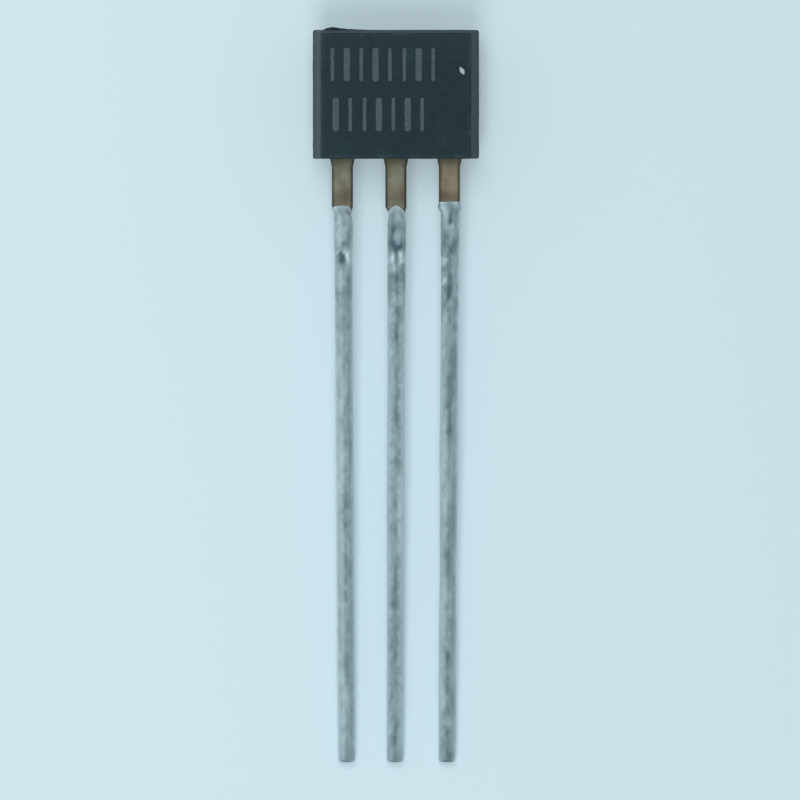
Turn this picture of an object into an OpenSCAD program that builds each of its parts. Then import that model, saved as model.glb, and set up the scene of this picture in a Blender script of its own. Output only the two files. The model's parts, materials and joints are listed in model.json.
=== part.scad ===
// Flat three-lead plastic transistor, lying on its back with its lead tips down.
// X runs across the leads, Y from the lead tips to the top of the body, and Z up
// from the surface that the part lies on.

/* [Moulded body] */
// Width of the body at the parting line of the mould
body_w = 3.93; // [3.75:0.01:4.3]
// Height of the body, from the face that the leads leave to the top
body_h = 3.05; // [2.85:0.01:3.4]
// Thickness of the body, from the back face to the marked face
body_t = 2.1; // [1.9:0.01:2.5]
// How far each side of the marked face is set back from the parting line
face_setback = 0.19; // [0.08:0.01:0.3]
// Slope of the top and of the lead face, in degrees, so that the mould lets go
end_draft = 3; // [1:0.5:6]
// Slope of the sides behind the parting line, in degrees
side_draft = 5; // [1:0.5:8]
// Size of the 45 degree bevels beside the back face
back_bevel = 0.5; // [0.2:0.05:0.7]
// Radius of the moulded edges
edge_r = 0.05; // [0.02:0.01:0.1]
// Width of the shallow round mark that the ejector pin leaves in the back face
ejector_d = 0.9; // [0.5:0.05:1.2]
// Depth of the ejector mark
ejector_depth = 0.04; // [0.02:0.01:0.08]

/* [Broken gate on the top] */
// Distance of the gate's highest point from the middle of the body
gate_offset = 1.51; // [1.2:0.01:1.6]
// Height of the broken stub above the top face
gate_h = 0.07; // [0.03:0.01:0.15]
// Length of the stub's steep side, towards the corner of the body
gate_rise = 0.23; // [0.1:0.01:0.3]
// Length of the stub's flat side, towards the middle
gate_run = 0.95; // [0.5:0.05:1.3]
// Thickness of the stub behind the parting line
gate_t = 0.35; // [0.2:0.05:0.5]

/* [Leads] */
// Distance between the leads
pitch = 1.27; // [1.2:0.01:1.4]
// Length of the leads below the body
lead_len = 14.36; // [8:0.1:18]
// Thickness of the stamped sheet
sheet_t = 0.38; // [0.3:0.01:0.45]
// Height of the middle of the sheet above the back face
sheet_mid = 1.05; // [0.95:0.01:1.15]
// Width of the bare neck below the body
neck_w = 0.5; // [0.46:0.01:0.58]
// Length of the neck
neck_len = 1.15; // [0.8:0.05:1.4]
// Length over which the neck narrows to the lead
shoulder_len = 0.15; // [0.1:0.01:0.3]
// Width of the lead below the neck
lead_w = 0.37; // [0.3:0.01:0.44]
// Radius of the stamped edges of the neck
neck_edge_r = 0.06; // [0.03:0.01:0.1]
// Radius of the coined edges of the lead below the neck
lead_edge_r = 0.1; // [0.06:0.01:0.13]
// How much the neck widens on each side where it enters the body
root_flare = 0.045; // [0.02:0.005:0.07]
// Length of that widening
root_len = 0.2; // [0.1:0.01:0.3]
// How far the leads are set to the right below their necks
shaft_shift = 0.02; // [0:0.005:0.04]
// Inward lean of the left lead, in degrees
lean_left = 0.35; // [0:0.01:1]
// Lean of the middle lead to the left, in degrees
lean_middle = 0.17; // [0:0.01:0.5]
// Inward lean of the right lead, in degrees
lean_right = 0.32; // [0:0.01:1]

/* [Solder coat] */
// Thickness of the coat at its upper end
coat_top = 0.03; // [0.02:0.005:0.04]
// Thickness of the coat near the tips
coat_tip = 0.015; // [0.012:0.001:0.02]
// Thickness of the thin edge where the coat starts
coat_edge = 0.02; // [0.015:0.001:0.025]
// Thickness of the coat on the flat faces, as a multiple of that on the edges
coat_crown = 1.3; // [1:0.05:1.5]
// How far below the body the coat starts on the left lead
start_left = 1.07; // [1:0.01:1.15]
// How far below the body the coat starts on the middle lead
start_middle = 1.05; // [1:0.01:1.2]
// How far below the body the coat starts on the right lead
start_right = 0.96; // [0.9:0.01:1.2]
// Drop of the coat's upper edge towards the right side of the left lead
slant_left = 0.2; // [0:0.01:0.25]
// Drop of the coat's upper edge from the middle to the sides of the middle lead
arch_middle = 0.25; // [0:0.01:0.28]
// Radius of the coat round the tips
tip_r = 0.07; // [0.05:0.01:0.1]

/* [Lead frame inside the body] */
// Height of the widened root inside the body
root_in = 0.35; // [0.25:0.01:0.5]
// Depth at which the sheet's edges turn square inside the body
mouth_depth = 0.05; // [0.03:0.01:0.1]
// Width of the stem between the middle root and the flag
stem_w = 0.45; // [0.35:0.01:0.53]
// Width of the flag that carries the chip
flag_w = 1.5; // [1.3:0.01:1.55]
// Height of the flag
flag_h = 1.3; // [1.1:0.01:1.5]
// Plastic above the flag
flag_cover = 0.45; // [0.35:0.01:0.6]
// Gap between the flag and the bond posts
post_gap = 0.25; // [0.18:0.01:0.3]
// Plastic beside the bond posts
side_cover = 0.36; // [0.3:0.01:0.42]
// Height of the bond posts above the lead face
post_h = 1.9; // [1.6:0.01:2.2]
// Width of the holes that lock the posts in the plastic
lock_d = 0.22; // [0.15:0.01:0.28]

/* [Chip and bond wires] */
// Width of the square chip
chip_w = 0.42; // [0.3:0.01:0.6]
// Thickness of the chip
chip_t = 0.18; // [0.1:0.01:0.22]
// Thickness of the solder or paste under the chip
attach_t = 0.02; // [0.015:0.005:0.04]
// How far the paste shows round the chip
attach_rim = 0.03; // [0.01:0.01:0.06]
// Diameter of the bond wires
wire_d = 0.03; // [0.02:0.005:0.04]
// Distance of each bond pad from the middle of the chip
pad_offset = 0.11; // [0.08:0.01:0.12]
// Height of the wire loops above the chip
loop_h = 0.14; // [0.1:0.01:0.18]
// Distance of each bond from the top of its post
bond_setback = 0.3; // [0.15:0.01:0.5]
// Length of wire pressed flat on each post
stitch_len = 0.1; // [0.08:0.01:0.15]

/* [Hidden] */

LEFT = -1;
MIDDLE = 0;
RIGHT = 1;

// The mould parts at the front of the sheet, which lies in its rear half
sheet_back = sheet_mid - sheet_t / 2;
sheet_front = sheet_mid + sheet_t / 2;
part_half = body_w / 2;
face_half = part_half - face_setback;
bevel_half = part_half - (sheet_front - back_bevel) * tan(side_draft);
back_half = bevel_half - back_bevel;
face_drop = (body_t - sheet_front) * tan(end_draft);
back_drop = sheet_front * tan(end_draft);

// Broken stub: place from its highest point, towards the middle, and height
gate_root = 2 * gate_h;
gate_profile = [[-gate_rise, 0], [-gate_rise / 2, 0.7 * gate_h], [0, gate_h],
                [gate_run * 0.15, 0.75 * gate_h], [gate_run * 0.35, 0.4 * gate_h],
                [gate_run, 0]];

// Lead frame
shoulder_end = neck_len + shoulder_len;
root_half = neck_w / 2 + root_flare;
flag_top = body_h - flag_cover;
flag_bottom = flag_top - flag_h;
post_in = flag_w / 2 + post_gap;
post_out = part_half - side_cover;
post_mid = (post_in + post_out) / 2;

// Lead below the body: distance down, half width and radius of its edges
core_end = lead_len - tip_r / 2 - coat_tip;
stations = [[-root_in / 2, root_half, neck_edge_r], [0, root_half, neck_edge_r],
            [root_len, neck_w / 2, neck_edge_r], [neck_len, neck_w / 2, neck_edge_r],
            [shoulder_end, lead_w / 2, lead_edge_r], [core_end, lead_w / 2, lead_edge_r]];
corner_steps = 4;

// Solder coat: section corners go from nearly square on the neck to round below
square_power = 9;
round_power = 3.5;
corner_fade = 0.15;
edge_fade = 0.15;
section_points = 20;
long_rings = 28;
tip_rings = 4;

// Thicker and thinner places in the coat: distance below the body, height, length
blobs_left = [[1.65, 0.013, 0.3], [2.36, -0.008, 0.15], [3.2, -0.004, 0.5],
              [4.3, -0.004, 0.8], [8.6, 0.004, 2], [12.5, 0.006, 1.5]];
blobs_middle = [[1.9, 0.003, 0.3], [2.36, -0.006, 0.12], [2.75, 0.003, 0.2],
                [5, -0.007, 1.4], [8.1, 0.005, 0.9], [12, -0.005, 1.5]];
blobs_right = [[1.7, 0.014, 0.6], [2.45, -0.008, 0.12], [3.1, -0.006, 0.25],
               [6.9, 0.013, 0.9], [9.9, -0.008, 0.7], [12.3, 0.008, 1.2]];

// Chip and wires
chip_y = (flag_top + flag_bottom) / 2;
chip_bottom = sheet_front + attach_t;
chip_top = chip_bottom + chip_t;
ball_d = 2.6 * wire_d;
ball_h = 0.8 * wire_d;
wire_flat = wire_d / 2 * cos(180 / 8);
bond_y = post_h - bond_setback;
knee_r = 2.5 * wire_d;
knee_steps = 4;
fall_steps = 10;

// The part rests on the lower back edge of its body and on its lead tips
rest_edge = back_drop - edge_r * tan(end_draft) + edge_r / cos(end_draft);
tip_under = sheet_back - coat_tip * coat_crown;
lie_angle = atan(tip_under / (rest_edge + lead_len - tip_r));
low_z = rest_edge * sin(lie_angle) - edge_r * (1 - cos(lie_angle));
high_y = (body_h + gate_h) * cos(lie_angle) - (sheet_front - gate_t) * sin(lie_angle);
low_y = -lead_len * cos(lie_angle) - sheet_mid * sin(lie_angle);

black_resin = [0.13, 0.18, 0.19];
bare_copper = [0.45, 0.41, 0.35];
dull_solder = [0.56, 0.64, 0.67];
silicon = [0.36, 0.38, 0.44];
silver_paste = [0.7, 0.7, 0.68];
gold = [0.83, 0.66, 0.3];

// Lays the part down, with its origin under the middle of its box
module laid() {
    translate([0, -(high_y + low_y) / 2, -low_z]) rotate([lie_angle, 0, 0]) children();
}

// Place of a lead's middle at a distance below the body: it is set over at its
// shoulder and leans below its neck
function lead_middle_x(side, d) =
    let (lean = side == LEFT ? lean_left : side == RIGHT ? -lean_right : -lean_middle,
         below = max(0, d - neck_len))
    side * pitch + shaft_shift * min(1, below / shoulder_len) + below * tan(lean);

// Outline of the body seen along the leads
module cross_section() {
    half = [[face_half, body_t], [part_half, sheet_front], [bevel_half, back_bevel],
            [back_half, 0]];
    offset(r = edge_r, $fn = 24) offset(delta = -edge_r)
        polygon(concat(half, [for (i = [3:-1:0]) [-half[i].x, half[i].y]]));
}

// Outline of the body seen from the side
module long_section() {
    offset(r = edge_r, $fn = 24) offset(delta = -edge_r)
        polygon([[back_drop, 0], [0, sheet_front], [face_drop, body_t],
                 [body_h - face_drop, body_t], [body_h, sheet_front],
                 [body_h - back_drop, 0]]);
}

// Stub that is left where the runner broke off the top face
module gate_stub() {
    translate([-gate_offset, body_h, sheet_front - gate_t]) linear_extrude(gate_t)
        polygon(concat([[-gate_rise, -gate_root]], gate_profile, [[gate_run, -gate_root]]));
}

module body_form() {
    intersection() {
        translate([0, body_h, 0]) rotate([90, 0, 0]) linear_extrude(body_h) cross_section();
        translate([-part_half, 0, 0]) rotate([90, 0, 90]) linear_extrude(body_w)
            long_section();
    }
    gate_stub();
}

// Right half of the widened root, centred on the lead
root_block = [[root_half, mouth_depth], [root_half, root_in]];

function mirrored(points) =
    [for (i = [len(points) - 1:-1:0]) [-points[i].x, points[i].y]];

module flag_lead_outline() {
    half = concat(root_block,
                  [[stem_w / 2, root_in], [stem_w / 2, flag_bottom],
                   [flag_w / 2, flag_bottom], [flag_w / 2, flag_top]]);
    difference() {
        polygon(concat(half, mirrored(half)));
        for (x = [-flag_w / 2, flag_w / 2]) translate([x, flag_bottom + lock_d])
            rotate(22.5) circle(d = lock_d, $fn = 8);
    }
}

module post_lead_outline() {
    post = [[post_out - pitch, root_in], [post_out - pitch, post_h],
            [post_in - pitch, post_h], [post_in - pitch, root_in]];
    difference() {
        polygon(concat(root_block, post, mirrored(root_block)));
        translate([post_mid - pitch, (root_in + bond_y) / 2]) rotate(22.5)
            circle(d = lock_d, $fn = 8);
    }
}

// A point of a rectangle with rounded corners, counted round from its right side
function rounded_point(w, t, r, i) =
    let (corner = floor(i / (corner_steps + 1)),
         a = 90 * corner + 90 * (i % (corner_steps + 1)) / corner_steps,
         x = corner == 0 || corner == 3 ? w - r : r - w,
         z = corner < 2 ? t - r : r - t)
    [x + r * cos(a), z + r * sin(a)];

// Closes a stack of rings of n points each, given in order, into a solid
module stack(points, n) {
    last = len(points) - n;
    faces = concat(
        [[for (k = [0:n - 1]) k]],
        [for (j = [0:n:last - n], k = [0:n - 1], half = [0, 1])
            let (p = j + k, q = j + (k + 1) % n)
            half == 0 ? [p, q + n, q] : [p, p + n, q + n]],
        [[for (k = [n - 1:-1:0]) last + k]]);
    polyhedron(points, faces);
}

// The lead from its root to its tip, with rounded edges
module lead_bar(side) {
    n = 4 * (corner_steps + 1);
    stack([for (s = stations, i = [0:n - 1])
               let (p = rounded_point(s[1], sheet_t / 2, s[2], i))
               [lead_middle_x(side, s[0]) + p.x, -s[0], sheet_mid + p.y]], n);
}

module lead_blank(side) {
    translate([side * pitch, 0, sheet_back]) linear_extrude(sheet_t) {
        if (side == MIDDLE) flag_lead_outline();
        if (side == RIGHT) post_lead_outline();
        if (side == LEFT) mirror([1, 0]) post_lead_outline();
    }
    lead_bar(side);
}

// Half width of the bare metal at a distance below the body
function metal_half(d) =
    d < neck_len ? neck_w / 2
    : d > shoulder_end ? lead_w / 2
    : neck_w / 2 + (lead_w - neck_w) / 2 * (d - neck_len) / shoulder_len;

// Distance below the body at which the coat starts, at a place across the lead
function coat_start(side, across) =
    side == LEFT ? start_left + slant_left * pow(max(0, across), 2)
    : side == RIGHT ? start_right
    : start_middle + arch_middle * abs(across);

function coat_blobs(side) =
    side == LEFT ? blobs_left : side == RIGHT ? blobs_right : blobs_middle;

function blob_height(blobs, d, i = 0) =
    i == len(blobs) ? 0
    : blobs[i][1] * exp(-pow((d - blobs[i][0]) / blobs[i][2], 2))
      + blob_height(blobs, d, i + 1);

// Thickness of the coat: thin at its edge, thickest just below, thinner to the tip
function coat_thickness(side, d, start) =
    let (full = coat_top + (coat_tip - coat_top) * (d - start) / (lead_len - start),
         ramp = min(1, (d - start) / edge_fade))
    coat_edge + (full - coat_edge) * ramp + blob_height(coat_blobs(side), d) * ramp;

function corner_power(d, start) =
    round_power + (square_power - round_power) * exp(-(d - start) / corner_fade);

function curved(value, power) = sign(value) * pow(abs(value), 2 / power);

// One point of the coat, u along the lead from 0 to 1 and a round its section
function coat_point(side, u, a) =
    let (start = coat_start(side, sign(cos(a)) * pow(abs(cos(a)), 0.5)),
         d = start + (lead_len - tip_r - start) * u,
         t = coat_thickness(side, d, start),
         power = corner_power(d, start))
    [lead_middle_x(side, d) + (metal_half(d) + t) * curved(cos(a), power), -d,
     sheet_mid + (sheet_t / 2 + t * coat_crown) * curved(sin(a), power)];

// The same section drawn in by the radius of the tip, b from 0 to 90 degrees
function tip_point(side, b, a) =
    let (d = lead_len - tip_r * (1 - sin(b)),
         t = coat_thickness(side, lead_len - tip_r, 0) - tip_r * (1 - cos(b)))
    [lead_middle_x(side, d) + (lead_w / 2 + t) * curved(cos(a), round_power), -d,
     sheet_mid + (sheet_t / 2 + t * coat_crown) * curved(sin(a), round_power)];

module coat_form(side) {
    rings = long_rings + tip_rings + 1;
    turn = [for (i = [0:section_points - 1]) 360 * i / section_points];
    start = coat_start(side, 0);
    points = concat(
        [for (j = [0:long_rings], a = turn) coat_point(side, pow(j / long_rings, 2), a)],
        [for (j = [1:tip_rings], a = turn) tip_point(side, 90 * j / tip_rings, a)],
        [for (d = [start, lead_len]) [lead_middle_x(side, d), -d, sheet_mid]]);
    first = rings * section_points;
    faces = concat(
        [for (j = [0:rings - 2], i = [0:section_points - 1], half = [0, 1])
            let (p = j * section_points + i,
                 q = j * section_points + (i + 1) % section_points)
            half == 0 ? [p, q, q + section_points]
                      : [p, q + section_points, p + section_points]],
        [for (i = [0:section_points - 1]) [first, (i + 1) % section_points, i]],
        [for (i = [0:section_points - 1])
            [first + 1, first - section_points + i,
             first - section_points + (i + 1) % section_points]]);
    polyhedron(points, faces);
}

module coat(side) {
    difference() {
        coat_form(side);
        lead_blank(side);
    }
}

module chip_block() {
    translate([-chip_w / 2, chip_y - chip_w / 2, chip_bottom])
        cube([chip_w, chip_w, chip_t]);
}

module attach_layer() {
    w = chip_w + 2 * attach_rim;
    translate([-w / 2, chip_y - w / 2, sheet_front]) cube([w, w, attach_t]);
}

// Centre line of a wire: up from the chip, over a knee, down in a soft curve, flat
function wire_path(span, top) =
    concat(
        [[0, chip_top + ball_h / 2]],
        [for (i = [0:knee_steps]) let (a = 180 - 90 * i / knee_steps)
            [knee_r * (1 + cos(a)), top - knee_r * (1 - sin(a))]],
        [for (i = [1:fall_steps]) let (u = i / fall_steps)
            [knee_r + (span - stitch_len - knee_r) * u,
             sheet_front + wire_flat
                 + (top - sheet_front - wire_flat) * (1 + cos(180 * u)) / 2]],
        [[span, sheet_front + wire_flat]]);

// Direction of a path at one of its points, in degrees above the level
function slope(path, i) =
    let (p = path[max(0, i - 1)], q = path[min(len(path) - 1, i + 1)])
    i == 0 ? 90 : i == len(path) - 1 ? 0 : atan2(q.y - p.y, q.x - p.x);

module wire_tube(path) {
    n = 8;
    stack([for (i = [0:len(path) - 1], k = [0:n - 1])
               let (s = slope(path, i), a = 22.5 + 45 * k)
               [path[i].x - wire_d / 2 * sin(a) * sin(s), wire_d / 2 * cos(a),
                path[i].y + wire_d / 2 * sin(a) * cos(s)]], n);
}

module wire_form(side) {
    pad = [side * pad_offset, chip_y];
    bond = [side * post_mid, bond_y];
    run = bond - pad;
    translate([pad.x, pad.y, 0]) rotate([0, 0, atan2(run.y, run.x)]) {
        wire_tube(wire_path(norm(run) + stitch_len / 2, chip_top + loop_h));
        translate([0, 0, chip_top]) rotate([0, 0, 22.5])
            cylinder(d = ball_d, h = ball_h, $fn = 8);
    }
}

module molded_body() {
    color(black_resin) laid() difference() {
        body_form();
        translate([0, body_h / 2, -ejector_depth])
            cylinder(d = ejector_d, h = 2 * ejector_depth, $fn = 48);
        for (side = [LEFT, MIDDLE, RIGHT]) lead_blank(side);
        attach_layer();
        chip_block();
        wire_form(LEFT);
        wire_form(RIGHT);
    }
}

module lead_left() {
    color(bare_copper) laid() lead_blank(LEFT);
}

module lead_middle() {
    color(bare_copper) laid() lead_blank(MIDDLE);
}

module lead_right() {
    color(bare_copper) laid() lead_blank(RIGHT);
}

module solder_coat_left() {
    color(dull_solder) laid() coat(LEFT);
}

module solder_coat_middle() {
    color(dull_solder) laid() coat(MIDDLE);
}

module solder_coat_right() {
    color(dull_solder) laid() coat(RIGHT);
}

module chip() {
    color(silicon) laid() chip_block();
}

module chip_attach() {
    color(silver_paste) laid() attach_layer();
}

module bond_wire_left() {
    color(gold) laid() wire_form(LEFT);
}

module bond_wire_right() {
    color(gold) laid() wire_form(RIGHT);
}

molded_body();
lead_left();
lead_middle();
lead_right();
solder_coat_left();
solder_coat_middle();
solder_coat_right();
chip();
chip_attach();
bond_wire_left();
bond_wire_right();
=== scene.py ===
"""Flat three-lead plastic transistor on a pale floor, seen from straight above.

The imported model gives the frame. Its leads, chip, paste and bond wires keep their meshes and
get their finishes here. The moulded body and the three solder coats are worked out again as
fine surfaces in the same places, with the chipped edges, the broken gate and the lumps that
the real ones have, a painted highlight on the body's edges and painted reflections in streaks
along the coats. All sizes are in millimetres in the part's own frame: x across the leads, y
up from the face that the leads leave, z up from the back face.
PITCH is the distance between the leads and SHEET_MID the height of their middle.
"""
from __future__ import annotations

import json
import logging
import math
from collections.abc import Callable
from dataclasses import dataclass
from enum import Enum
from functools import partial

import bpy
import numpy as np
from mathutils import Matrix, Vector


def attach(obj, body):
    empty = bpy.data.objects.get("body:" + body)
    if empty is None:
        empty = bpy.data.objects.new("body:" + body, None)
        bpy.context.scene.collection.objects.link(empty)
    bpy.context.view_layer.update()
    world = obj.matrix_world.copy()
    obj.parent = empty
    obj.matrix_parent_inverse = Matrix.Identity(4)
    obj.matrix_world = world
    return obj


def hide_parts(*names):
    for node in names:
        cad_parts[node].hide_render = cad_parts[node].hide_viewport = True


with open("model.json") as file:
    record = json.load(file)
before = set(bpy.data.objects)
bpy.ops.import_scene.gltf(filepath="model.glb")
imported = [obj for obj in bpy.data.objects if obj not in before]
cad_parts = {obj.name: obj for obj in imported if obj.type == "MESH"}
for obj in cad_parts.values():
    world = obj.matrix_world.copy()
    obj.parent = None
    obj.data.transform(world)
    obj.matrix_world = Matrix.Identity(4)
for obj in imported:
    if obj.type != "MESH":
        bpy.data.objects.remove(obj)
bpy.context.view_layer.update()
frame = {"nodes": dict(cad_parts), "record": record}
METRE = 0.001
BODY = "root"
PITCH = 1.27
SHEET_MID = 1.05
Triple = tuple[float, float, float]
Socket = bpy.types.NodeSocket
AddNode = Callable[..., bpy.types.Node]

LOG = logging.getLogger("transistor")


class Side(Enum):
    """The three leads, with the side of the middle that each is on."""

    LEFT = -1
    MIDDLE = 0
    RIGHT = 1


# ---- shared tools


def linear(code: str) -> tuple[float, float, float, float]:
    """Turns an sRGB colour into linear light.

    Args:
        code: the colour as # and six hex digits.

    Returns:
        Red, green and blue in linear light, and full cover.
    """
    shares = [int(code[i : i + 2], 16) / 255 for i in (1, 3, 5)]
    red, green, blue = [
        s / 12.92 if s <= 0.04045 else ((s + 0.055) / 1.055) ** 2.4 for s in shares
    ]
    return red, green, blue, 1.0


def feed(node: bpy.types.Node, sockets: dict[str | int, object]) -> None:
    """Links the inputs of a node, or sets their values.

    Args:
        node: the node.
        sockets: for each input the output that feeds it, or its value.
    """
    for key, value in sockets.items():
        if isinstance(value, Socket):
            node.id_data.links.new(value, node.inputs[key])
        else:
            node.inputs[key].default_value = value


def add_node(
    tree: bpy.types.NodeTree,
    kind: str,
    sockets: dict[str | int, object] | None = None,
    **settings: object,
) -> bpy.types.Node:
    """Adds a shader node with its settings and links.

    Args:
        tree: the node tree that it goes into.
        kind: its type name without the word ShaderNode in front.
        sockets: for each input the output that feeds it, or its value.
        settings: the node's own options.

    Returns:
        The new node.
    """
    node = tree.nodes.new("ShaderNode" + kind)
    for name, value in settings.items():
        setattr(node, name, value)
    feed(node, sockets or {})
    return node


def smooth_step(values: np.ndarray, low: float, high: float) -> np.ndarray:
    """Goes from 0 at low to 1 at high along 3 t^2 - 2 t^3."""
    t = np.clip((values - low) / (high - low), 0, 1)
    return t * t * (3 - 2 * t)


def bell(values: np.ndarray, middle: float, width: float) -> np.ndarray:
    """A bell curve, 1 at the middle and 1/e at one width from it."""
    return np.exp(-(((values - middle) / width) ** 2))


def random_field(points: np.ndarray, sizes: float | Triple, seed: int) -> np.ndarray:
    """A smooth random value at each point.

    Each corner of a lattice gets a value hashed from its whole-number place, and a point
    takes the mean of the 8 corners round it, weighted along 3 t^2 - 2 t^3 on each axis.

    Args:
        points: places, with x, y and z on the last axis.
        sizes: spacing of the lattice along x, y and z, or one for all three.
        seed: picks one field out of many.

    Returns:
        Values from -1 to 1, one for each point.
    """
    place = points / np.array(sizes)
    cell = np.floor(place)
    t = place - cell
    t = t * t * (3 - 2 * t)
    cell = cell.astype(np.int64)
    total = np.zeros(points.shape[:-1])
    for corner in np.ndindex(2, 2, 2):
        key = (cell + np.array(corner)) * np.array([73856093, 19349663, 83492791])
        mixed = key[..., 0] ^ key[..., 1] ^ key[..., 2] ^ (seed * 2654435761)
        mixed = (mixed ^ (mixed >> 13)) * 1274126177
        value = ((mixed ^ (mixed >> 16)) & 0xFFFF) / 32767.5 - 1
        total += value * np.prod(np.where(corner, t, 1 - t), axis=-1)
    return total


def at_height(flat: np.ndarray, height: np.ndarray | float) -> np.ndarray:
    """Gives a grid of xy points their height as z."""
    return np.concatenate([flat, np.broadcast_to(height, flat.shape[:2])[..., None]], axis=2)


def closed_object(
    name: str, grids: list[np.ndarray], marks: dict[str, list[np.ndarray]] | None = None
) -> bpy.types.Object:
    """Makes one mesh of grids whose rows are closed rings.

    Point (j, i) of a grid is joined to its neighbours in rows j and j + 1, and the last
    column to the first. A point at the mean of the first row and one at the mean of the last
    close its ends. A grid whose signed volume is negative has its faces turned round.

    Args:
        name: the piece's name.
        grids: points in metres, as rows, columns and xyz.
        marks: values to keep with the points, by name, one array for each grid.

    Returns:
        The object, at the origin.
    """
    points, faces, first = [], [], 0
    for grid in grids:
        rows, columns = grid.shape[:2]
        index = np.arange(rows * columns).reshape(rows, columns)
        after = np.roll(index, -1, axis=1)
        corners = [index[:-1], after[:-1], after[1:], index[1:]]
        quads = np.stack([c.ravel() for c in corners], axis=1)
        start, end = (np.full(columns, rows * columns + k) for k in (0, 1))
        ends = ((start, after[0], index[0]), (end, index[-1], after[-1]))
        caps = np.concatenate([np.stack(c, axis=1) for c in ends])
        flat = np.concatenate([grid.reshape(-1, 3), grid[[0, -1]].mean(axis=1)])
        a, b, c, d = (flat[quads[:, k]] for k in range(4))
        if np.sum(np.cross(a, b) * c + np.cross(a, c) * d) < 0:
            quads, caps = quads[:, ::-1], caps[:, ::-1]
        points.append(flat)
        faces += (quads + first).tolist() + (caps + first).tolist()
        first += len(flat)
    mesh = bpy.data.meshes.new(name)
    mesh.from_pydata(np.concatenate(points).tolist(), [], faces)
    mesh.polygons.foreach_set("use_smooth", np.ones(len(faces), dtype=bool))
    for mark, fields in (marks or {}).items():
        ends = [np.concatenate([f.ravel(), f[[0, -1]].mean(axis=1)]) for f in fields]
        layer = mesh.attributes.new(mark, "FLOAT", "POINT")
        layer.data.foreach_set("value", np.concatenate(ends).astype(np.float32))
    mesh.update()
    piece = bpy.data.objects.new(name, mesh)
    bpy.context.scene.collection.objects.link(piece)
    return piece


def outline_weights(across: int, up: int, turn: int) -> tuple[np.ndarray, np.ndarray]:
    """Weights from which every rounded rectangle's outline is made.

    A point of the outline is middle + reach * (half size - radius) + bend * radius.

    Args:
        across: points along each side that runs along x.
        up: points along each side that runs along y.
        turn: points round each corner.

    Returns:
        reach and bend, one xy pair for each point, counted anticlockwise.
    """
    reach, bend = [], []
    for quarter, count in enumerate((up, across, up, across)):
        angle = quarter * math.pi / 2
        turned = np.array([[math.cos(angle), math.sin(angle)], [-math.sin(angle), math.cos(angle)]])
        along = np.linspace(-1, 1, count, endpoint=False)
        reach.append(np.stack([np.ones(count), along], axis=1) @ turned)
        bend.append(np.tile([1.0, 0.0], (count, 1)) @ turned)
        sweep = np.linspace(0, math.pi / 2, turn, endpoint=False)
        reach.append(np.ones((turn, 2)) @ turned)
        bend.append(np.stack([np.cos(sweep), np.sin(sweep)], axis=1) @ turned)
    return np.concatenate(reach), np.concatenate(bend)


def rounded_section(corners: np.ndarray, radius: float) -> np.ndarray:
    """Rounds the inner corners of an open outline.

    A corner B gives way to (1 - t)^2 A + 2 t (1 - t) B + t^2 C, where A and C lie on its two
    sides at radius * tan(half the turn) from it.

    Args:
        corners: the outline's corners with its two ends.
        radius: radius of the roundings.

    Returns:
        The points of all the roundings in order.
    """
    before, corner, after = corners[:-2], corners[1:-1], corners[2:]
    back = (before - corner) / np.linalg.norm(before - corner, axis=1, keepdims=True)
    on = (after - corner) / np.linalg.norm(after - corner, axis=1, keepdims=True)
    turn = math.pi - np.arccos(np.clip(np.sum(back * on, axis=1), -1, 1))
    cut = radius * np.tan(turn / 2)[:, None]
    t = np.linspace(0, 1, 9)[None, :, None]
    start, middle, end = ((corner + v * cut)[:, None] for v in (back, 0 * back, on))
    return ((1 - t) ** 2 * start + 2 * t * (1 - t) * middle + t * t * end).reshape(-1, 2)


# ---- where it lies


@dataclass(frozen=True)
class Lay:
    """How the part lies: on the lower back edge of its body and on its lead tips.

    Attributes:
        angle: lean of the back face, in radians.
        shift_y: shift along y after the lean.
        shift_z: shift along z after the lean.
    """

    angle: float
    shift_y: float
    shift_z: float

    @classmethod
    def from_record(cls, record: dict) -> Lay:
        """Reads the lean from the mounts that the record names.

        Args:
            record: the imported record.

        Returns:
            The lay of the part.
        """
        mounts = {mount["name"]: mount for mount in record["mounts"]}
        outward = mounts["back_face"]["axis"]
        angle = math.atan2(outward[1], -outward[2])
        _, y, z = (value / METRE for value in mounts["board_leads"]["pos_m"])
        return cls(angle, y + SHEET_MID * math.sin(angle), z - SHEET_MID * math.cos(angle))

    def place(self, points: np.ndarray) -> np.ndarray:
        """Lays points down as the part lies.

        Args:
            points: places in the part's own frame.

        Returns:
            Their places in the row's frame, in metres.
        """
        x, y, z = points[..., 0], points[..., 1], points[..., 2]
        sin, cos = math.sin(self.angle), math.cos(self.angle)
        laid = [x, y * cos - z * sin + self.shift_y, y * sin + z * cos + self.shift_z]
        return np.stack(laid, axis=-1) * METRE

    def along(self, down: float, z: float) -> float:
        """Gives the row's y, in metres, of a place that far below the body."""
        return float(self.place(np.array([0.0, -down, z]))[1])


# ---- finishes


def start_material(name: str) -> tuple[bpy.types.Material, AddNode, Socket]:
    """Starts a material.

    Args:
        name: its name.

    Returns:
        The material, what adds a node to it, and the place on the piece.
    """
    material = bpy.data.materials.new(name)
    material.use_nodes = True
    add = partial(add_node, material.node_tree)
    return material, add, add("TexCoord").outputs["Object"]


def shaded(material: bpy.types.Material, sockets: dict[str, object]) -> bpy.types.Material:
    """Feeds the shader that a new material comes with, and gives the material back."""
    feed(material.node_tree.nodes["Principled BSDF"], sockets)
    return material


def per_metre(size_mm: float) -> float:
    """Gives the scale at which a pattern has that size, in millimetres."""
    return 1 / (size_mm * METRE)


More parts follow.
